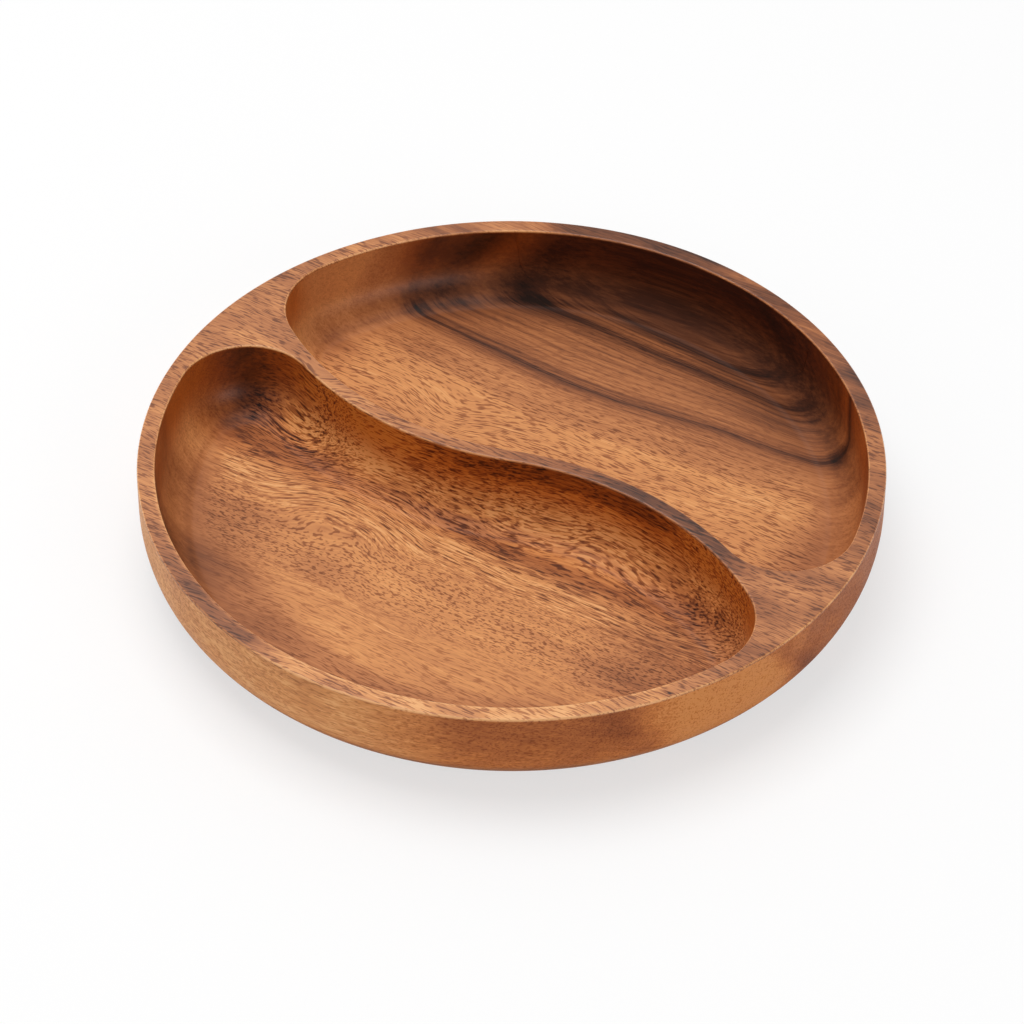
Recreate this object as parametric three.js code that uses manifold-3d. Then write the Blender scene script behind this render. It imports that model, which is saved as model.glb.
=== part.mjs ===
// Divided catchall bowl: a round blank, edge-glued from boards that lie side by side along the grain,
// turned outside and hollowed into two equal comma-shaped compartments with an S-shaped divider.
// Millimetres, +Z up. The origin is the centre of the flat base, and +X runs along the grain.
import * as THREE from "three";
import { mergeVertices } from "three/addons/utils/BufferGeometryUtils.js";
import Module from "manifold-3d";

const degree = Math.PI / 180;

// Outside of the bowl
const rimRadius = 127;
const bowlHeight = 38;
const undersideRadius = 25; // quarter round between the flat base and the upright wall
const arris = 0.6; // small bevel that breaks every top edge

// Compartments
const rimWidth = 6;
const floorThickness = 12.5;
const wallLean = 5 * degree; // how far the inner walls lean back from upright
const coveRadius = 13; // hollow round between wall and floor

// S-shaped divider: two opposite bows that meet at the bowl's centre
const dividerThickness = 5.2;
const dividerBowRadius = 114.6; // radius of the divider's middle line
const dividerTilt = 17.4 * degree; // its slope against the grain at the centre
const noseRadius = 23.6; // round of the narrow end of a compartment
const heelRadius = 26.8; // round of the broad end

// Boards of the blank, which meet at glued edges in planes across Y
const boardWidth = 58.5;
const seamOffset = -12; // Y of one of the seams
const leastBoardWidth = 15; // a narrower offcut at the edge stays part of its neighbour

// Fineness of the round faces
const wallStep = 3.75 * degree; // turn of one facet along the rim and the divider
const cornerStep = 9 * degree; // turn of one facet round a nose or a heel
const sectionSteps = 6; // facets in the underside's round and in the cove
const cutOverrun = 2; // how far a cutting solid passes the faces that it cuts
const weldDistance = 1e-4;

// Tone and finish of each board, from the front to the back
const boardTones = [0xb9784a, 0xbd8150, 0xae7242, 0xa56d40, 0x6d452c];
const woodRoughness = 0.45;
const woodMetalness = 0;

const innerRadius = rimRadius - rimWidth;
const wasm = await Module();
wasm.setup();

function polar(radius, angle) {
  return new THREE.Vector2(radius * Math.cos(angle), radius * Math.sin(angle));
}

// A closed geometry as a solid: equal corners become one, and triangles that shrink to a line go.
function solidOf(geometry) {
  const bare = new THREE.BufferGeometry();
  bare.setAttribute("position", geometry.getAttribute("position"));
  bare.setIndex(geometry.getIndex());
  const merged = mergeVertices(bare, weldDistance);
  const corners = merged.getIndex().array;
  const triangles = [];
  for (let i = 0; i < corners.length; i += 3) {
    const [a, b, c] = corners.slice(i, i + 3);
    if (a !== b && b !== c && c !== a) triangles.push(a, b, c);
  }
  const vertProperties = new Float32Array(merged.getAttribute("position").array);
  const triVerts = new Uint32Array(triangles);
  return new wasm.Manifold(new wasm.Mesh({ numProp: 3, vertProperties, triVerts }));
}

function geometryOf(solid) {
  const { vertProperties, triVerts } = solid.getMesh();
  const geometry = new THREE.BufferGeometry();
  geometry.setAttribute("position", new THREE.BufferAttribute(vertProperties, 3));
  geometry.setIndex(new THREE.BufferAttribute(triVerts, 1));
  geometry.computeVertexNormals();
  return geometry;
}

// The turned blank: flat base, round underside, upright wall, bevelled rim and flat top.
function turnedBlank() {
  const baseRadius = rimRadius - undersideRadius;
  const profile = [new THREE.Vector2(0, 0), new THREE.Vector2(baseRadius, 0)];
  for (let i = 1; i <= sectionSteps; i += 1) {
    const point = polar(undersideRadius, (i / sectionSteps - 1) * Math.PI / 2);
    profile.push(point.add(new THREE.Vector2(baseRadius, undersideRadius)));
  }
  profile.push(new THREE.Vector2(rimRadius, bowlHeight - arris));
  profile.push(new THREE.Vector2(rimRadius - arris, bowlHeight));
  profile.push(new THREE.Vector2(0, bowlHeight));
  const facets = Math.round(2 * Math.PI / wallStep);
  return solidOf(new THREE.LatheGeometry(profile, facets).rotateX(Math.PI / 2));
}

// Centre of a round at one distance from the bowl's centre and another from a bow's centre,
// anticlockwise of that bow.
function cornerCentre(fromMiddle, bow, fromBow) {
  const reach = bow.length();
  const cosine = (fromMiddle ** 2 + reach ** 2 - fromBow ** 2) / (2 * fromMiddle * reach);
  return polar(fromMiddle, bow.angle() + Math.acos(cosine));
}

// An arc of a compartment's mouth. A compartment that is drawn in by an inset has the same arcs with other
// radii: grow is -1 where the wall bulges out of the compartment and +1 where the divider bulges in.
function mouthArc(centre, radius, from, to, grow, step) {
  return { centre, radius, from, to, grow, step };
}

// Mouth of the front compartment, anticlockwise, as arcs that touch each other: the rim, the round heel,
// the divider's two bows and the round nose.
function mouthArcs() {
  const backBow = polar(dividerBowRadius, Math.PI / 2 + dividerTilt);
  const frontBow = backBow.clone().negate();
  const shoulderRadius = dividerBowRadius + dividerThickness / 2;
  const bellyRadius = dividerBowRadius - dividerThickness / 2;
  const nose = cornerCentre(innerRadius - noseRadius, backBow, shoulderRadius + noseRadius);
  const heel = cornerCentre(innerRadius - heelRadius, frontBow, bellyRadius - heelRadius);
  const bellyEnd = heel.clone().sub(frontBow).angle();
  const noseStart = backBow.clone().sub(nose).angle();
  const fullTurn = 2 * Math.PI;
  const middle = new THREE.Vector2();
  return [
    mouthArc(middle, innerRadius, nose.angle(), heel.angle(), -1, wallStep),
    mouthArc(heel, heelRadius, heel.angle() - fullTurn, bellyEnd, -1, cornerStep),
    mouthArc(frontBow, bellyRadius, bellyEnd, backBow.angle(), -1, wallStep),
    mouthArc(backBow, shoulderRadius, frontBow.angle(), noseStart + Math.PI, 1, wallStep),
    mouthArc(nose, noseRadius, noseStart, nose.angle(), -1, cornerStep),
  ];
}

// One ring of points round the compartment, drawn in by an inset.
function mouthRing(arcs, inset) {
  const ring = [];
  for (const { centre, radius, from, to, grow, step } of arcs) {
    const facets = Math.max(2, Math.round(Math.abs(to - from) / step));
    for (let i = 0; i < facets; i += 1) {
      ring.push(polar(radius + grow * inset, from + (to - from) * i / facets).add(centre));
    }
  }
  return ring;
}

// Section of a compartment's wall as insets and heights, from above the rim down to the floor.
function wallSection() {
  const coveHeight = floorThickness + coveRadius;
  const lean = (height) => (bowlHeight - height) * Math.tan(wallLean);
  const coveTop = coveHeight - coveRadius * Math.sin(wallLean);
  const coveInset = lean(coveTop) + coveRadius * Math.cos(wallLean);
  const section = [
    { inset: -arris - cutOverrun, height: bowlHeight + cutOverrun },
    { inset: lean(bowlHeight - arris), height: bowlHeight - arris },
  ];
  for (let i = 0; i <= sectionSteps; i += 1) {
    const angle = wallLean + (Math.PI / 2 - wallLean) * i / sectionSteps;
    section.push({
      inset: coveInset - coveRadius * Math.cos(angle),
      height: coveHeight - coveRadius * Math.sin(angle),
    });
  }
  return section;
}

// Solid that hollows out one compartment: rings stacked from the rim to the floor, closed at both ends.
function compartment() {
  const arcs = mouthArcs();
  const section = wallSection();
  const rings = section.map(({ inset }) => mouthRing(arcs, inset));
  const count = rings[0].length;
  const positions = [];
  for (const [row, { height }] of section.entries()) {
    for (const point of rings[row]) {
      positions.push(point.x, point.y, height);
    }
  }
  const index = [];
  for (let row = 0; row + 1 < rings.length; row += 1) {
    for (let i = 0; i < count; i += 1) {
      const upper = row * count + i;
      const upperNext = row * count + (i + 1) % count;
      index.push(upper, upper + count, upperNext, upperNext, upper + count, upperNext + count);
    }
  }
  const lastRow = (rings.length - 1) * count;
  for (const [a, b, c] of THREE.ShapeUtils.triangulateShape(rings[0], [])) {
    index.push(a, b, c);
  }
  for (const [a, b, c] of THREE.ShapeUtils.triangulateShape(rings.at(-1), [])) {
    index.push(lastRow + c, lastRow + b, lastRow + a);
  }
  const geometry = new THREE.BufferGeometry();
  geometry.setAttribute("position", new THREE.Float32BufferAttribute(positions, 3));
  geometry.setIndex(index);
  return geometry;
}

// Seams between the boards, from the front to the back of the bowl.
function boardSeams() {
  const reach = rimRadius - leastBoardWidth;
  const first = Math.ceil((-reach - seamOffset) / boardWidth);
  const last = Math.floor((reach - seamOffset) / boardWidth);
  const seams = [];
  for (let i = first; i <= last; i += 1) {
    seams.push(seamOffset + i * boardWidth);
  }
  return seams;
}

// Block that takes one board out of the bowl, from one seam to the next.
function boardBlock(front, back) {
  const length = 2 * (rimRadius + cutOverrun);
  const depth = bowlHeight + 2 * cutOverrun;
  const block = new THREE.BoxGeometry(length, 2, depth).translate(0, 0, bowlHeight / 2);
  const positions = block.getAttribute("position");
  for (let i = 0; i < positions.count; i += 1) {
    positions.setY(i, positions.getY(i) < 0 ? front : back);
  }
  return solidOf(block);
}

const hollow = compartment();
const turnedHollow = hollow.clone().rotateZ(Math.PI);
const bowl = turnedBlank().subtract(solidOf(hollow)).subtract(solidOf(turnedHollow));
const edge = rimRadius + cutOverrun;
const cuts = [-edge, ...boardSeams(), edge];
const catchallBowl = new THREE.Group();
for (let i = 0; i + 1 < cuts.length; i += 1) {
  const wood = new THREE.MeshStandardMaterial({
    color: boardTones[i % boardTones.length],
    roughness: woodRoughness,
    metalness: woodMetalness,
  });
  const board = new THREE.Mesh(geometryOf(bowl.intersect(boardBlock(cuts[i], cuts[i + 1]))), wood);
  board.name = `board_${i + 1}`;
  catchallBowl.add(board);
}

export default catchallBowl;
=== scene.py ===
"""Divided acacia bowl: five edge-glued boards, turned outside and hollowed into two compartments."""
from math import acos, atan2, ceil, cos, pi, radians, sin, tan

import bpy
from mathutils import Matrix, Vector


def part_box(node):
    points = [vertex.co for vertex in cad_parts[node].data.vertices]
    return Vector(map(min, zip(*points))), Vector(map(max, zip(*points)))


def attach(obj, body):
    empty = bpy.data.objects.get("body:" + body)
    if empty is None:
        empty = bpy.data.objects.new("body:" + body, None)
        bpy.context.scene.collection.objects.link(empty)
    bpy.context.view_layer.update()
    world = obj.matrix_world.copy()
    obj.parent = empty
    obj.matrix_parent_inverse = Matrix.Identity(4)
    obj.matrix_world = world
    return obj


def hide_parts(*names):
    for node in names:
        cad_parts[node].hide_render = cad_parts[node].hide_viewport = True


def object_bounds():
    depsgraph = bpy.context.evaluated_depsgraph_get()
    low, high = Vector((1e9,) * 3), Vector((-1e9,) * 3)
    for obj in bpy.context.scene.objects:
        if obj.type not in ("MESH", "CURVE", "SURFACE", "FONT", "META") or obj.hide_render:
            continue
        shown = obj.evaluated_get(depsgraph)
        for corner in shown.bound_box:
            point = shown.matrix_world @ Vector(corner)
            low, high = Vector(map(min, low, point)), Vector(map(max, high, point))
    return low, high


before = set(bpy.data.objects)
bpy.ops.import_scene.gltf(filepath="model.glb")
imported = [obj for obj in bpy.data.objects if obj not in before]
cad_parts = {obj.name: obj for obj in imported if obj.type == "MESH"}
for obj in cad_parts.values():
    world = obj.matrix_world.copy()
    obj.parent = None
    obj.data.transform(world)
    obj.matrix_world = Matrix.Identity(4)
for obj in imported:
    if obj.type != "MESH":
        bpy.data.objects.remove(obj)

CAD_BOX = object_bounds()
MM = 0.001

# Sizes of the bowl, the same as the solids'
RIM_RADIUS = (CAD_BOX[1][0] - CAD_BOX[0][0]) / 2
BOWL_HEIGHT = CAD_BOX[1][2] - CAD_BOX[0][2]
UNDERSIDE_RADIUS = 25 * MM
RIM_WIDTH = 6 * MM
FLOOR_THICKNESS = 12.5 * MM
WALL_LEAN = radians(5)
COVE_RADIUS = 13 * MM
DIVIDER_THICKNESS = 5.2 * MM
DIVIDER_BOW_RADIUS = 114.6 * MM
DIVIDER_TILT = radians(17.4)
NOSE_RADIUS = 23.6 * MM
HEEL_RADIUS = 26.8 * MM
EDGE_ROUND = 0.7 * MM  # the sanded edge of the rim and the divider
INNER_RADIUS = RIM_RADIUS - RIM_WIDTH
FLOOR_LEVEL = FLOOR_THICKNESS / MM
BOARDS = ("board_1", "board_2", "board_3", "board_4", "board_5")
SLOTS = ("acacia_honey", "acacia_honey", "acacia_brown", "acacia_brown", "acacia_dark")

# Light of the studio. A radiance of 1 is white.
FLOOR_GLOW = 0.64  # share of the floor that the camera sees as even white
ROOM_LIGHT = 0.15
BACKDROP_LIGHT = 0.7
OVERHEAD_LIGHT = 4.15
FRONT_LEFT_LIGHT = 0.9
FRONT_RIGHT_LIGHT = 1.98
CAMERA_AZIMUTH = radians(30)
PICTURE_RIGHT = Vector((cos(CAMERA_AZIMUTH), sin(CAMERA_AZIMUTH), 0))
PICTURE_BACK = Vector((-sin(CAMERA_AZIMUTH), cos(CAMERA_AZIMUTH), 0))

# Fineness of the modelled surface
OUTLINE_STEP = 1.5 * MM
SECTION_STEPS = 20
EDGE_STEPS = 5
WALL_STEPS = 6


class Wire:
    """Output of a node. Arithmetic on wires adds Math nodes to their tree."""

    def __init__(self, graph, socket):
        self.graph = graph
        self.socket = socket

    def math(self, operation, *others, swap=False):
        values = (*others, self) if swap else (self, *others)
        return self.graph.node("ShaderNodeMath", {"operation": operation}, dict(enumerate(values)))

    def __add__(self, other):
        return self.math("ADD", other)

    def __radd__(self, other):
        return self.math("ADD", other)

    def __sub__(self, other):
        return self.math("SUBTRACT", other)

    def __rsub__(self, other):
        return self.math("SUBTRACT", other, swap=True)

    def __mul__(self, other):
        return self.math("MULTIPLY", other)

    def __rmul__(self, other):
        return self.math("MULTIPLY", other)

    def __truediv__(self, other):
        return self.math("DIVIDE", other)

    def __rtruediv__(self, other):
        return self.math("DIVIDE", other, swap=True)

    def __pow__(self, other):
        return self.math("POWER", other)

    def __neg__(self):
        return self.math("MULTIPLY", -1)

    def __abs__(self):
        return self.math("ABSOLUTE")

    def __lt__(self, other):
        return self.math("LESS_THAN", other)

    def __gt__(self, other):
        return self.math("GREATER_THAN", other)


class Graph:
    """A node tree that is written as expressions."""

    def __init__(self, tree):
        self.tree = tree

    def node(self, kind, settings=None, inputs=None, output=0):
        node = self.tree.nodes.new(kind)
        for name, value in (settings or {}).items():
            if name == "stops":
                self.set_stops(node.color_ramp, value)
            else:
                setattr(node, name, value)
        for name, value in (inputs or {}).items():
            wires = value if isinstance(value, list) else [value]
            for wire in wires:
                if isinstance(wire, Wire):
                    self.tree.links.new(wire.socket, node.inputs[name])
                else:
                    node.inputs[name].default_value = wire
        return Wire(self, node.outputs[output]) if node.outputs else node

    def set_stops(self, ramp, stops):
        while len(ramp.elements) < len(stops):
            ramp.elements.new(0.5)
        for element, (place, colour) in zip(ramp.elements, stops):
            element.position = place
            element.color = (*colour, 1)

    def size_input(self, name):
        self.tree.interface.new_socket(name, in_out="INPUT", socket_type="NodeSocketFloat")
        return self.node("NodeGroupInput", output=name)

    def join(self, *pieces):
        return self.node("GeometryNodeJoinGeometry", inputs={0: list(pieces)})

    def place(self, x, y, z=0):
        return self.node("ShaderNodeCombineXYZ", inputs={0: x, 1: y, 2: z})


def polar(radius, angle):
    return Vector((radius * cos(angle), radius * sin(angle)))


def bearing(vector):
    return atan2(vector.y, vector.x) % (2 * pi)


def corner_centre(from_middle, bow, from_bow):
    """Centre of a round at one distance from the bowl's centre and another from a bow's centre."""
    reach = bow.length
    cosine = (from_middle ** 2 + reach ** 2 - from_bow ** 2) / (2 * from_middle * reach)
    return polar(from_middle, bearing(bow) + acos(cosine))


def mouth_outline():
    """Mouth of the front compartment, anticlockwise: rim, heel, the divider's two bows and nose."""
    back_bow = polar(DIVIDER_BOW_RADIUS, pi / 2 + DIVIDER_TILT)
    front_bow = -back_bow
    shoulder_radius = DIVIDER_BOW_RADIUS + DIVIDER_THICKNESS / 2
    belly_radius = DIVIDER_BOW_RADIUS - DIVIDER_THICKNESS / 2
    nose = corner_centre(INNER_RADIUS - NOSE_RADIUS, back_bow, shoulder_radius + NOSE_RADIUS)
    heel = corner_centre(INNER_RADIUS - HEEL_RADIUS, front_bow, belly_radius - HEEL_RADIUS)
    belly_end = bearing(heel - front_bow)
    nose_start = bearing(back_bow - nose)
    arcs = (
        (Vector((0, 0)), INNER_RADIUS, bearing(nose), bearing(heel)),
        (heel, HEEL_RADIUS, bearing(heel) - 2 * pi, belly_end),
        (front_bow, belly_radius, belly_end, bearing(back_bow)),
        (back_bow, shoulder_radius, bearing(front_bow), nose_start + pi),
        (nose, NOSE_RADIUS, nose_start, bearing(nose)),
    )
    outline = []
    for centre, radius, start, end in arcs:
        steps = ceil(abs(end - start) * radius / OUTLINE_STEP)
        for i in range(steps):
            outline.append(centre + polar(radius, start + (end - start) * i / steps))
    return outline


def mouths_mesh():
    """Outlines of both mouths as loops of edges. The back one is the front one turned half round."""
    front = mouth_outline()
    count = len(front)
    points = [(p.x, p.y, 0) for p in front] + [(-p.x, -p.y, 0) for p in front]
    edges = [(i, (i + 1) % count) for i in range(count)]
    edges += [(count + a, count + b) for a, b in edges]
    mesh = bpy.data.meshes.new("mouths")
    mesh.from_pydata(points, edges, [])
    return mesh


def section_arc(graph, centre_x, centre_y, radius, start, sweep, steps):
    arc = graph.node("GeometryNodeCurveArc", {"mode": "RADIUS"}, {
        "Resolution": steps + 1, "Radius": radius, "Start Angle": start, "Sweep Angle": sweep})
    return graph.node("GeometryNodeTransform", inputs={
        "Geometry": arc, "Translation": graph.place(centre_x, centre_y)})


def section_line(graph, start, end):
    line = graph.node("GeometryNodeCurvePrimitiveLine", inputs={"Start": start, "End": end})
    return graph.node("GeometryNodeResampleCurve", inputs={"Curve": line, "Count": WALL_STEPS + 1})


def swept(graph, path, section):
    """Strip that a section makes along a path: its X points to the right of the path, its Y up."""
    upright = graph.node("GeometryNodeSetCurveNormal", {"mode": "Z_UP"}, {"Curve": path})
    turned_over = graph.node("GeometryNodeTransform", inputs={
        "Geometry": section, "Scale": (1, -1, 1)})
    strip = graph.node("GeometryNodeCurveToMesh", inputs={
        "Curve": upright, "Profile Curve": turned_over})
    return graph.node("GeometryNodeFlipFaces", inputs={"Mesh": strip})


def closing_face(graph, strips, height):
    """Flat face that closes the open edges of the strips at one height."""
    neighbours = graph.node("GeometryNodeInputMeshEdgeNeighbors")
    position = graph.node("GeometryNodeInputPosition")
    level = graph.node("ShaderNodeSeparateXYZ", inputs={0: position}, output="Z")
    chosen = (neighbours < 1.5) * (abs(level - height) < 0.1 * MM)
    rim = graph.node("GeometryNodeMeshToCurve", inputs={"Mesh": strips, "Selection": chosen})
    face = graph.node("GeometryNodeFillCurve", {"mode": "TRIANGLES"}, {"Curve": rim})
    return graph.node("GeometryNodeTransform", inputs={
        "Geometry": face, "Translation": graph.place(0, 0, height)})


def carved_board_tree(wood):
    """The turned and hollowed bowl, of which one board is kept, from its front seam to its back seam."""
    tree = bpy.data.node_groups.new("carved board", "GeometryNodeTree")
    tree.interface.new_socket("Mouths", in_out="INPUT", socket_type="NodeSocketGeometry")
    tree.interface.new_socket("Board", in_out="OUTPUT", socket_type="NodeSocketGeometry")
    graph = Graph(tree)
    rim_radius = graph.size_input("Rim Radius")
    height = graph.size_input("Height")
    underside = graph.size_input("Underside Radius")
    floor = graph.size_input("Floor Thickness")
    cove = graph.size_input("Cove Radius")
    edge = graph.size_input("Edge Round")
    front_seam = graph.size_input("Front Seam")
    back_seam = graph.size_input("Back Seam")

    outer_section = graph.join(
        section_arc(graph, -underside, underside, underside, -pi / 2, pi / 2, SECTION_STEPS),
        section_line(graph, graph.place(0, underside), graph.place(0, height - edge)),
        section_arc(graph, -edge, height - edge, edge, 0, pi / 2, EDGE_STEPS))
    rim_steps = ceil(2 * pi * RIM_RADIUS / OUTLINE_STEP)
    rim_path = graph.node("GeometryNodeCurvePrimitiveCircle", {"mode": "RADIUS"}, {
        "Resolution": rim_steps, "Radius": rim_radius})
    outside = swept(graph, rim_path, outer_section)

    edge_inset = edge * (-(1 - sin(WALL_LEAN)) / cos(WALL_LEAN))
    cove_top = floor + cove * (1 - sin(WALL_LEAN))
    cove_top_inset = (height - cove_top) * tan(WALL_LEAN)
    cove_inset = cove_top_inset + cove * cos(WALL_LEAN)
    mouth_section = graph.join(
        section_arc(graph, -edge_inset, height - edge, edge, pi / 2, pi / 2 - WALL_LEAN, EDGE_STEPS),
        section_line(
            graph,
            graph.place(-edge_inset - edge * cos(WALL_LEAN), height - edge * (1 - sin(WALL_LEAN))),
            graph.place(-cove_top_inset, cove_top)),
        section_arc(
            graph, -cove_inset, floor + cove, cove, -WALL_LEAN, WALL_LEAN - pi / 2, SECTION_STEPS))
    mouths = graph.node("NodeGroupInput", output="Mouths")
    mouth_path = graph.node("GeometryNodeMeshToCurve", inputs={"Mesh": mouths})
    inside = swept(graph, mouth_path, mouth_section)

    strips = graph.join(outside, inside)
    land = closing_face(graph, strips, height)
    floors = closing_face(graph, strips, floor)
    base = graph.node("GeometryNodeFlipFaces", inputs={"Mesh": closing_face(graph, strips, 0)})
    bowl = graph.node("GeometryNodeMergeByDistance", inputs={
        "Geometry": graph.join(strips, land, floors, base), "Distance": 0.01 * MM})

    block = graph.node("GeometryNodeMeshCube", inputs={
        "Size": graph.place(3 * rim_radius, back_seam - front_seam, 3 * height)})
    block = graph.node("GeometryNodeTransform", inputs={
        "Geometry": block, "Translation": graph.place(0, (front_seam + back_seam) / 2)})
    board = graph.node("GeometryNodeMeshBoolean", {"operation": "INTERSECT", "solver": "MANIFOLD"}, {
        "Mesh 2": [bowl, block]})
    board = graph.node("GeometryNodeMergeByDistance", inputs={"Geometry": board, "Distance": 0.05 * MM})
    smooth = graph.node("GeometryNodeSetShadeSmooth", {"domain": "FACE"}, {"Geometry": board})
    turn = graph.node("GeometryNodeInputMeshEdgeAngle")
    creased = graph.node("GeometryNodeSetShadeSmooth", {"domain": "EDGE"}, {
        "Geometry": smooth, "Selection": turn > radians(30), "Shade Smooth": False})
    real = graph.node("GeometryNodeRealizeInstances", inputs={"Geometry": creased})
    painted = graph.node("GeometryNodeSetMaterial", inputs={"Geometry": real, "Material": wood})
    graph.node("NodeGroupOutput", inputs={"Board": painted})
    return tree


def carve_board(name, seams, wood):
    tree = carved_board_tree(wood)
    blank = bpy.data.objects.new("blank", mouths_mesh())
    bpy.context.scene.collection.objects.link(blank)
    carving = blank.modifiers.new("carving", "NODES")
    carving.node_group = tree
    sizes = {
        "Rim Radius": RIM_RADIUS, "Height": BOWL_HEIGHT, "Underside Radius": UNDERSIDE_RADIUS,
        "Floor Thickness": FLOOR_THICKNESS, "Cove Radius": COVE_RADIUS, "Edge Round": EDGE_ROUND,
        "Front Seam": seams[0], "Back Seam": seams[1],
    }
    for socket in tree.interface.items_tree:
        if socket.name in sizes:
            carving[socket.identifier] = sizes[socket.name]
    blank.modifiers.new("even shading", "WEIGHTED_NORMAL").keep_sharp = True
    evaluated = blank.evaluated_get(bpy.context.evaluated_depsgraph_get())
    mesh = bpy.data.meshes.new_from_object(evaluated)
    bpy.data.objects.remove(blank)
    board = bpy.data.objects.new("carved_" + name, mesh)
    bpy.context.scene.collection.objects.link(board)
    return board


def srgb(red, green, blue):
    """A colour as it is seen, 0 to 255, in the linear values that shaders take."""
    values = [channel / 255 for channel in (red, green, blue)]
    return tuple(v / 12.92 if v <= 0.04045 else ((v + 0.055) / 1.055) ** 2.4 for v in values)


# The wood's colours, from its darkest tone, 0, to its palest, 1
WOOD_TONES = (
    (0.00, srgb(30, 12, 4)),
    (0.15, srgb(66, 31, 13)),
    (0.30, srgb(108, 59, 31)),
    (0.45, srgb(144, 83, 45)),
    (0.60, srgb(173, 106, 60)),
    (0.75, srgb(197, 128, 76)),
    (0.90, srgb(219, 149, 88)),
    (1.00, srgb(234, 172, 112)),
)
BASE_TONE = 0.87
WALL_SHADE_AND_OIL = (0.74, 0.46, 0.17)  # share of red, green and blue left on the inner walls by painted shade, and on the outer wall's end grain by oil
OIL_SHINE = 0.18
POLISH_ROUGHNESS = 0.36

# Places in millimetres
TOP_EDGE = (36.8, 37.6)  # heights between which the walls pass into the flat top
EDGE_HIGHLIGHT_HEIGHTS = (37.45, 37.92)  # heights of the round edge that is painted paler as a highlight
RIM_MIDDLE = (122, 125)  # distances from the centre between which inside passes into outside
PIN_HOLE = (101.4, -73.6)  # X and Y of a small void on the front rim, near a seam
LAYER_DIP = 0.6  # how far the growth layers move back for each millimetre of height


class Wood(Graph):
    """A material's node tree, with the patterns that wood is made of. Places are in millimetres."""

    def __init__(self, name, seed):
        self.material = bpy.data.materials.new(name)
        self.material.use_nodes = True
        super().__init__(self.material.node_tree)
        self.shader = self.tree.nodes["Principled BSDF"]
        self.seed = seed
        spot = self.node("ShaderNodeTexCoord", output="Object")
        spot = self.node("ShaderNodeVectorMath", {"operation": "SCALE"}, {0: spot, "Scale": 1 / MM})
        self.x = self.node("ShaderNodeSeparateXYZ", inputs={0: spot}, output="X")
        self.y = self.node("ShaderNodeSeparateXYZ", inputs={0: spot}, output="Y")
        self.z = self.node("ShaderNodeSeparateXYZ", inputs={0: spot}, output="Z")
        self.radius = (self.x * self.x + self.y * self.y) ** 0.5
        self.top = self.ramp(self.z, *TOP_EDGE)
        self.below_top = 1 - self.top
        beyond_rim = self.ramp(self.radius, *RIM_MIDDLE)
        self.outside = beyond_rim * self.below_top
        self.inside = (1 - beyond_rim) * self.below_top
        self.edge_highlight = self.band(self.z, *EDGE_HIGHLIGHT_HEIGHTS, 0.08)

    def ramp(self, value, low, high, start=0, end=1):
        """Soft step: start below low, end above high."""
        return self.node("ShaderNodeMapRange", {"interpolation_type": "SMOOTHSTEP"}, {
            "Value": value, "From Min": low, "From Max": high, "To Min": start, "To Max": end})

    def bell(self, value, centre, width):
        """1 at the centre, falling softly to 0 within about twice the width."""
        reach = (value - centre) / width
        return (reach * reach * -1).math("EXPONENT")

    def band(self, value, low, high, soft):
        """1 between two values, with soft ends."""
        rise = self.ramp(value, low - soft, low + soft)
        return rise * self.ramp(value, high - soft, high + soft, 1, 0)

    def cloud(self, x, y, z, detail=2, roughness=0.5):
        """Soft random value about 0, mostly within -0.25 to 0.25."""
        noise = self.node("ShaderNodeTexNoise", {"noise_dimensions": "3D"}, {
            "Vector": self.place(x, y, z), "Scale": 1, "Detail": detail, "Roughness": roughness})
        return noise - 0.5

    def dashes(self, x, y, z):
        """Cut vessels: dark flecks, as long as the scale of each direction makes them."""
        return self.ramp(self.cloud(x, y, z, 1), 0.0, 0.15)

    def feed(self, name, wire):
        self.tree.links.new(wire.socket, self.shader.inputs[name])


def growth_layers(wood):
    """Distance across the growth layers, which bow round the middle of the back compartment."""
    x, y, z = wood.x, wood.y, wood.z
    bow = (((x + 10) * (x + 10) + 400) ** 0.5 - 20) * wood.ramp(x, 30, 70, 0.115, 0.085)
    turned = wood.ramp(y, 78, 98)
    course = bow * (1 - turned) - x * turned * 0.06
    sway = wood.cloud(x / 75, y / 40, z / 40) * 5
    return y - (z - FLOOR_LEVEL) * LAYER_DIP - course * wood.ramp(y, 5, 40) + sway


def grain_flow(wood):
    """Distance across the fibres, which wave and curl in the front compartment."""
    x, y, z = wood.x, wood.y, wood.z
    wave = wood.cloud(x / 50, y / 30, z / 30) * 9
    curl = wood.ramp(x, -84, -50) * wood.bell(y, -31, 14) * 11
    feather = wood.ramp(x, -42, -12) * wood.bell(y, -29, 14) * 11
    arch = wood.bell(x, 38, 22) * wood.bell(y, -2, 15) * 6
    chevron = wood.bell(x, -79, 13) * wood.bell(y, -2, 12) * 8
    slant = wood.bell(x, -44, 18) * wood.bell(y, 32, 13) * 8
    return y + wave - curl + feather - arch + chevron + slant


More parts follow.
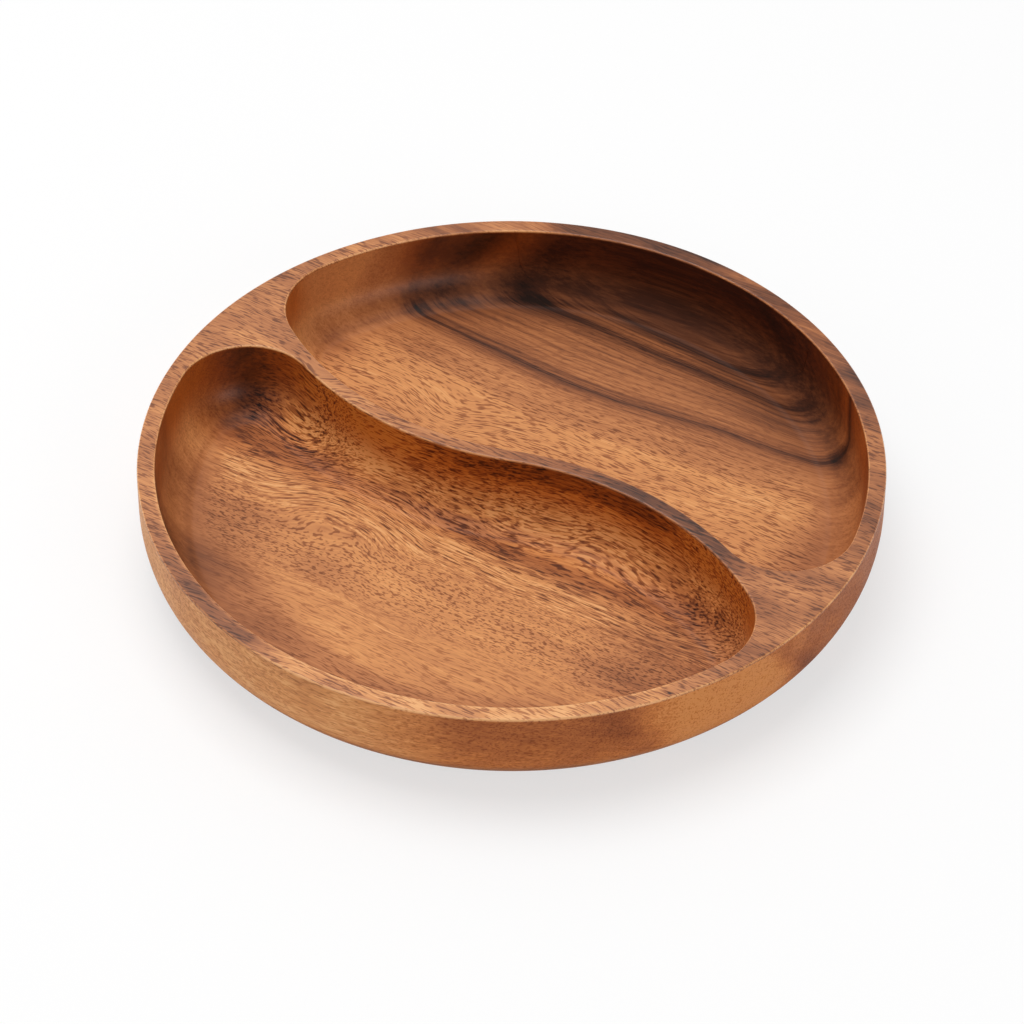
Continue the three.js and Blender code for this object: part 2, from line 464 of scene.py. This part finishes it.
def back_tone(wood, layer):
    """Honey wood that darkens towards the back wall, with dark streaks, and painted shade that darkens
    the back wall upwards.
    """
    x, y, z = wood.x, wood.y, wood.z
    darker = wood.ramp(layer, 44, 54) * 0.17 + wood.ramp(layer, 57, 67) * 0.15
    darker = darker + wood.ramp(layer, 89, 98) * 0.24
    darker = darker + wood.band(layer, 79, 94, 5) * wood.ramp(x, 18, 55) * 0.18
    # Painted shade: in the darkest layers the wall darkens upwards, under the rim.
    upwards = wood.ramp(z, 14, 20) * 0.07 + wood.ramp(z, 26, 33) * 0.05
    darker = darker + wood.ramp(layer, 94, 104) * wood.below_top * upwards
    lines = wood.cloud(x / 120, layer / 0.9, z / 30) * 1.6 + 1
    calm_wall = wood.ramp(z, 13.5, 16) * wood.ramp(x, 20, -20)
    streak = wood.bell(layer, 68.9, 2.6) * lines * (0.06 + wood.below_top * 0.16)
    streak = streak * (1 - calm_wall * 0.75)
    fine_lines = wood.ramp(layer, 48, 60) * wood.ramp(z, 16, 13) * 0.13
    fine_lines = fine_lines * (wood.ramp(lines, 0.9, 1.25) - 0.4)
    floor_streaks = (wood.bell(layer, 97.5, 1.8) - wood.bell(layer, 102, 1.4)) * 0.10
    floor_streaks = floor_streaks + (wood.bell(layer, 91.5, 1.0) + wood.bell(layer, 107, 2.0)) * 0.08
    floor_streaks = floor_streaks + wood.bell(layer, 66, 1.0) * 0.06
    pale_wall = wood.bell(y, 72, 6) * wood.ramp(x, 86, 96) * wood.ramp(z, 18, 26) * wood.below_top * 0.16
    return pale_wall - darker - streak - fine_lines - floor_streaks * wood.ramp(z, 20, 14)


def back_shade(wood, layer):
    """Dark wood rising up the back compartment's wall, dark patches on its floor, darker towards the
    foot of the wall's left half, and painted shade along the crease, in the cove and at the floor's left
    end.
    """
    x, y, z = wood.x, wood.y, wood.z
    wall = wood.bell(x - (z - 19) * 0.7, -79, 7) * wood.ramp(y, 64, 78) * wood.ramp(z, 13, 17)
    wall = wall * wood.ramp(z, 18, 30, 0.07, 0.26)
    wall = wall + wood.bell(x, -82, 9) * wood.ramp(y, 60, 72) * wood.ramp(z, 22, 32) * 0.16
    wall = wall + wood.bell(x, -48, 9) * wood.ramp(y, 85, 95) * wood.ramp(z, 20, 28) * 0.08
    foot = wood.ramp(y, 76, 88) * wood.ramp(x, -30, -56) * wood.ramp(z, 27, 17) * 0.10
    # Painted shade along the crease where the wall meets the floor.
    crease = wood.bell(z, 13.6, 0.7) * wood.ramp(x, -20, -50) * wood.ramp(y, 35, 55) * 0.10
    # The first floor patch, at the left end by the cove, is painted shade.
    floor = wood.bell(x, -98, 9) * wood.bell(y, 44, 9) * 0.22
    floor = floor + wood.bell(x, -72, 14) * wood.bell(y, 54, 9) * 0.10
    floor = floor + wood.bell(x, -72, 10) * wood.bell(y, 83, 6) * 0.07
    # Painted shade in the cove at the foot of the wall.
    cove = wood.bell(x, 82, 9) * wood.bell(y, 76, 9) * 0.18 + wood.ramp(layer, 84, 96) * 0.06
    cove = cove + wood.ramp(x, -58, -82) * wood.ramp(y, 30, 55) * 0.14
    cove = cove * wood.ramp(z, 13, 15) * wood.ramp(z, 21, 17)
    return wall * wood.below_top + foot + crease + floor * wood.ramp(z, 20, 14) + cove


def front_tone(wood):
    """A dark band along the foot of the divider, a dark hollow in the nose, browner ends, the left one
    partly painted shade near its walls, and painted shade on the divider's front face under its top
    edge.
    """
    x, y, z = wood.x, wood.y, wood.z
    front = wood.ramp(y, -1, 7, 1, 0)
    low = wood.ramp(z, 26, 16)
    middle = wood.bell(x, 25, 60) * -6.5 - 12.5
    fading = wood.bell(x, -27, 20) * 0.6 + wood.ramp(x, -50, -80) * 0.3 + wood.ramp(x, 48, 72) * 0.55
    dark_band = wood.bell(y - middle, 0, 5.2) * (1 - fading) * low * 0.30
    ends = wood.ramp(x, 46, 80) * wood.ramp(y, -66, -52) * low * 0.26
    # The left end is darker partly in the wood and partly as painted shade near its walls.
    ends = ends + wood.ramp(x, -48, -84) * wood.ramp(y, -36, -46) * 0.22
    ends = ends + wood.bell(x, -80, 12) * wood.bell(y, -14, 9) * 0.16
    ends = ends + wood.bell(x, -88, 9) * wood.bell(y, -76, 11) * wood.ramp(z, 16, 21) * 0.18
    ends = ends + wood.bell(x, -105, 8) * wood.bell(y, -38, 9) * 0.18
    patches = wood.band(x, -10, 80, 12) * wood.band(y, -76, -28, 6) * 0.05
    patches = patches + wood.bell(x, -42, 14) * (wood.bell(y, -58, 7) + wood.bell(y, -92, 10)) * 0.15
    # Painted shade on the divider's front face just under its top edge, which faces away from the light.
    painted_shade_under_edge = wood.ramp(z, 26, 34) * wood.band(x, -20, 62, 14) * wood.band(y, -22, 8, 4)
    painted_shade_under_edge = painted_shade_under_edge * (0.36 + wood.bell(x, 38, 18) * 0.26)
    hollow = wood.bell(x, -106, 14) * wood.bell(y, 0, 11) * 0.58
    lighter = wood.bell(x, -50, 12) * wood.bell(y, -8, 9) * 0.24
    lighter = lighter + wood.bell(x, 72, 12) * wood.bell(y, -74, 7) * 0.22
    lighter = lighter + (wood.bell(x, 83, 7) + wood.bell(x, 38, 9)) * wood.bell(z, 23, 5) * 0.18
    return front * (lighter - dark_band - ends - patches - painted_shade_under_edge) - hollow


def top_tone(wood):
    """Patches of the rim, the dark top of the divider's right half, and a painted highlight along the
    front rim's inner edge.
    """
    x, y = wood.x, wood.y
    patches = wood.cloud(x / 22, y / 9, 7.3, 1) * 0.50 - 0.15
    golden = wood.band(x, -16, 92, 10) * wood.ramp(y, -80, -96) * 0.18
    golden = golden + wood.band(x, -74, -50, 8) * wood.ramp(y, 96, 104) * 0.20
    browner = wood.band(x, -78, -28, 8) * wood.ramp(y, -88, -102) * 0.24
    dark = wood.band(y, -15, 12, 4) * wood.ramp(x, -25, 58) * wood.ramp(x, 82, 98, 1, 0) * 0.46
    back = wood.ramp(y, 84, 104) * (wood.band(x, 20, 76, 12) * 0.14 + 0.14)
    back = back + wood.band(x, -104, -76, 8) * wood.ramp(y, 66, 80) * 0.12
    right = wood.ramp(x, 70, 95) * wood.ramp(y, -80, -64) * (wood.bell(y, 27, 14) * 0.14 + 0.10)
    middle = wood.band(x, -52, 8, 8) * wood.band(y, -24, 18, 5) * 0.07
    left = wood.ramp(x, -112, -120) * 0.05
    # Painted highlight along the inner edge of the front rim.
    painted_lip_highlight = wood.bell(wood.radius, 121.5, 0.6) * wood.ramp(y, -56, -76) * 0.16
    return patches + golden + back + painted_lip_highlight - dark - browner - right - middle - left


def outside_tone(wood):
    """The outer wall: brown at the front right, fading towards the bottom as painted light from the pale
    floor, golden on the end grain, brown again further on.
    """
    x, y, z = wood.x, wood.y, wood.z
    end_grain = wood.ramp(x, 60, 90)
    pale = wood.ramp(x, 50, 10) * wood.ramp(x, -112, -90, 0.2, 1) * 0.09
    # The brown fades towards the bottom, as painted light from the pale floor below.
    brown = wood.band(x, 44, 100, 8) * wood.ramp(y, -78, -88) * wood.ramp(z, 14, 28, 0.02, 0.18)
    golden = wood.band(y, -74, -34, 8) * 0.20
    brown_end = wood.band(y, -24, 40, 6) * 0.16
    slanting = wood.bell(y + (z - 20) * 0.9, -22, 5) * 0.20
    slanting = slanting + wood.bell(y + (z - 20) * 0.5, -82, 5) * 0.12
    streaks = wood.cloud(x / 25, y / 25, (z + y * 0.4) / 1.4) * 0.30
    return pale + streaks - brown + (golden - brown_end - slanting) * end_grain


def wall_foot_shade(wood):
    """Darker strips inside, where the right end, the front wall and the foot of the walls are shaded."""
    x, y = wood.x, wood.y
    right_end = wood.ramp(x, 82, 100) * wood.ramp(y, 0, 20) * 0.24
    front_strip = wood.ramp(wood.radius, 86, 98) * wood.ramp(y, -62, -76) * 0.20
    crease = wood.bell(wood.z, 13.2, 0.45) * wood.ramp(x, 60, 0) * 0.07
    return right_end + front_strip + crease


def fine_tone(wood, layer, flow, figured, smooth):
    """Growth lines and fibres, with a striped figure. Smooth wood shows less of the fibres."""
    x, y, z, seed = wood.x, wood.y, wood.z, wood.seed
    calm_wall = wood.ramp(z, 13.5, 16) * wood.ramp(x, 20, -20) * wood.ramp(y, 30, 50)
    lines = wood.cloud(x / 60, layer / 16, z / 60) * 0.22
    lines = lines + wood.cloud(x / 90, layer / 2.2, z / 30 + seed, 3) * 0.22 * (1 - calm_wall * 0.8)
    lines = lines + wood.cloud(x / 60, flow / 1.6, z / 1.6 + seed, 3, 0.7) * 0.32
    fibres = wood.cloud(x / 24, flow / 0.8, z / 0.8 + seed) * (0.18 + figured * 0.46 + wood.top * 0.20)
    fibres = fibres + wood.cloud(x / 40, flow / 0.42, z / 0.42 + seed) * 0.26
    stripes = wood.dashes(x / 9, flow / 0.75, z / 0.75 + seed) - 0.3
    fibres = fibres - figured * stripes * 0.26
    zebra = wood.bell(x, -80, 13) * wood.bell(y, -4, 9) * wood.inside
    zebra = zebra * (wood.dashes(x / 16, flow / 1.5, z / 1.5) - 0.40) * 0.7
    return lines + fibres * (1 - smooth) - zebra


def finish_wood(wood, tone, vessels, layer):
    """Colour with painted shade on the inner walls, darker and more saturated towards the top and round
    the divider, oil on the outer end grain, and a satin polish.
    """
    x, y, z = wood.x, wood.y, wood.z
    colour = wood.node("ShaderNodeValToRGB", {"stops": WOOD_TONES}, {"Fac": tone})
    # Painted shade: the inner walls darken and saturate towards the top and round the divider, less at
    # the back wall's left end. Oil deepens the outer end grain.
    pale_wall = wood.ramp(x, -84, -100) * wood.ramp(y, 36, 50)
    shade_and_oil = wood.ramp(z, 16, 32) * (1 - pale_wall * 0.85)
    shade_and_oil = shade_and_oil + (1 - shade_and_oil) * wood.band(y, -22, 6, 5) * 0.4
    shade_and_oil = wood.inside * shade_and_oil + wood.outside * wood.ramp(x, 0, 60) * 0.7
    shaded_and_oiled = wood.node("ShaderNodeMix", {"data_type": "RGBA", "blend_type": "MULTIPLY"}, {
        "Factor": shade_and_oil, 6: colour, 7: (*WALL_SHADE_AND_OIL, 1)}, output=2)
    wood.feed("Base Color", shaded_and_oiled)
    roughness = vessels * 0.2 + wood.cloud(x / 30, y / 12, z / 12) * 0.2
    wood.feed("Roughness", roughness + wood.ramp(layer, 84, 98) * 0.3 + 0.46)
    rubbed_wall = wood.ramp(x, -60, -80) * wood.ramp(z, 16, 21) * 0.5
    rubbed_floor = wood.ramp(z, 12.9, 12.6) * 0.25
    polish = wood.inside * (rubbed_wall + rubbed_floor) + wood.top * 0.6 + wood.edge_highlight * 0.4
    wood.feed("Coat Weight", polish)
    wood.shader.inputs["Coat Roughness"].default_value = POLISH_ROUGHNESS
    wood.shader.inputs["Specular IOR Level"].default_value = OIL_SHINE
    bump = wood.node("ShaderNodeBump", inputs={
        "Strength": 0.25, "Distance": 0.1 * MM, "Height": -vessels})
    wood.feed("Normal", bump)


def acacia(name, seed, seams):
    """Oiled acacia of one board between two seams."""
    wood = Wood(name, seed)
    x, y, z = wood.x, wood.y, wood.z
    top, inside, outside = wood.top, wood.inside, wood.outside
    layer = growth_layers(wood)
    flow = grain_flow(wood)
    figured = wood.band(y, -38, 4, 6) * inside
    dotted = wood.band(y, -66, -36, 8) * inside
    plain = wood.band(y, -92, -66, 6) * inside
    back_floor = wood.ramp(y, 8, 20) * inside
    smooth = inside * wood.ramp(wood.radius, 100, 109) * 0.75 + outside * 0.35

    inside_tone = front_tone(wood) - back_shade(wood, layer) - wall_foot_shade(wood)
    tone = back_tone(wood, layer) + BASE_TONE
    tone = tone + inside_tone * inside + top_tone(wood) * top + outside_tone(wood) * outside
    # The round edge of the rim and the divider is painted paler as a highlight.
    tone = tone + fine_tone(wood, layer, flow, figured, smooth) + wood.edge_highlight * 0.30
    pin_hole = wood.bell(x, PIN_HOLE[0], 0.9) * wood.bell(y, PIN_HOLE[1], 0.6) * wood.ramp(z, 36, 37)
    tone = tone - pin_hole * 0.7

    long_dashes = wood.dashes(x / 4.2, flow / 0.6, z / 0.6 + seed)
    short_dashes = wood.dashes(x / 1.9, flow / 0.55 + seed, z / 0.55)
    vessels = long_dashes * (1 - dotted) + short_dashes * dotted
    vessels = vessels * (1 - smooth) * wood.ramp(layer, 48, 68, 1, 0.45)
    depth = figured * 0.14 + dotted * 0.08 + top * 0.08 + back_floor * 0.08 - plain * 0.06 + 0.27
    depth = depth * wood.ramp(tone, 0.3, 0.8, 0.45, 1)
    tone = tone - smooth * 0.06 - vessels * depth
    for seam in seams:
        tone = tone - wood.bell(y, seam, 0.12) * 0.04
    finish_wood(wood, tone, vessels, layer)
    return wood.material


def studio_floor():
    """Pale floor. The camera sees it mostly as white, and the bowl's shadow on it."""
    half = 3
    level = -0.05 * MM  # just clear of the bowl's base
    corners = [(-half, -half, level), (half, -half, level), (half, half, level), (-half, half, level)]
    mesh = bpy.data.meshes.new("studio_floor")
    mesh.from_pydata(corners, [], [(0, 1, 2, 3)])
    floor = bpy.data.objects.new("studio_floor", mesh)
    bpy.context.scene.collection.objects.link(floor)
    paint = bpy.data.materials.new("studio paint")
    paint.use_nodes = True
    graph = Graph(paint.node_tree)
    matt = graph.node("ShaderNodeBsdfDiffuse", inputs={"Color": (0.95, 0.95, 0.95, 1)})
    white = graph.node("ShaderNodeEmission", inputs={"Color": (1, 1, 1, 1), "Strength": 1})
    seen = graph.node("ShaderNodeLightPath", output="Is Camera Ray")
    mixed = graph.node("ShaderNodeMixShader", inputs={0: seen * FLOOR_GLOW, 1: matt, 2: white})
    graph.tree.links.new(mixed.socket, graph.tree.nodes["Material Output"].inputs["Surface"])
    mesh.materials.append(paint)


def softbox(name, place, size, radiance):
    """Square lamp that faces the bowl. Its place is to the right of, behind and above the bowl."""
    right, behind, above = place
    light = bpy.data.lights.new(name, "AREA")
    light.shape = "SQUARE"
    light.size = size
    light.energy = radiance * pi * size ** 2
    lamp = bpy.data.objects.new(name, light)
    lamp.location = right * PICTURE_RIGHT + behind * PICTURE_BACK + Vector((0, 0, above))
    lamp.rotation_euler = (-lamp.location).to_track_quat("-Z", "Y").to_euler()
    bpy.context.scene.collection.objects.link(lamp)


def studio_light():
    """Bright backdrop, dim room behind the camera, a large lamp overhead and two weak ones in front."""
    world = bpy.data.worlds.new("studio")
    world.use_nodes = True
    graph = Graph(world.node_tree)
    direction = graph.node("ShaderNodeTexCoord", output="Generated")
    behind = graph.node("ShaderNodeVectorMath", {"operation": "DOT_PRODUCT"}, {
        0: direction, 1: tuple(PICTURE_BACK)}, output="Value")
    share = graph.node("ShaderNodeMapRange", {"interpolation_type": "SMOOTHSTEP"}, {
        "Value": behind, "From Min": -0.2, "From Max": 0.6})
    room = graph.node("ShaderNodeBackground", inputs={"Color": (1, 1, 1, 1), "Strength": ROOM_LIGHT})
    backdrop = graph.node("ShaderNodeBackground", inputs={
        "Color": (1, 1, 1, 1), "Strength": BACKDROP_LIGHT})
    mixed = graph.node("ShaderNodeMixShader", inputs={0: share, 1: room, 2: backdrop})
    graph.tree.links.new(mixed.socket, graph.tree.nodes["World Output"].inputs["Surface"])
    bpy.context.scene.world = world
    softbox("lamp overhead", (-0.3, 0.3, 1.75), 1.3, OVERHEAD_LIGHT)
    softbox("lamp front left", (-1.3, -1.1, 1.1), 1.1, FRONT_LEFT_LIGHT)
    softbox("lamp front right", (0.95, -1.45, 0.75), 1.1, FRONT_RIGHT_LIGHT)


def photo_camera():
    """Camera of the photo, fitted to the circle of the rim."""
    elevation = radians(42.43)
    roll = radians(0.327)
    distance = 1524 * MM
    aim = Vector((14.5, -24.69, 38)) * MM
    back = Vector((0, 0, sin(elevation))) - PICTURE_BACK * cos(elevation)
    up = back.cross(PICTURE_RIGHT)
    turned_right = PICTURE_RIGHT * cos(roll) + up * sin(roll)
    turned_up = back.cross(turned_right)
    camera = bpy.data.cameras.new("camera")
    camera.sensor_width = 36
    camera.lens = 160.1
    eye = bpy.data.objects.new("camera", camera)
    turn = Matrix((turned_right, turned_up, back)).transposed().to_4x4()
    eye.matrix_world = Matrix.Translation(aim + distance * back) @ turn
    bpy.context.scene.collection.objects.link(eye)
    bpy.context.scene.camera = eye


photo_camera()
for seed, (node, slot) in enumerate(zip(BOARDS, SLOTS)):
    seams = [corner[1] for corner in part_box(node)]
    wood = acacia("acacia " + node, 3.7 * seed, [seam / MM for seam in seams])
    carved = carve_board(node, seams, wood)
    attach(carved, "root")
    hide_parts(node)
studio_floor()
studio_light()
bpy.context.scene.view_settings.view_transform = "Standard"
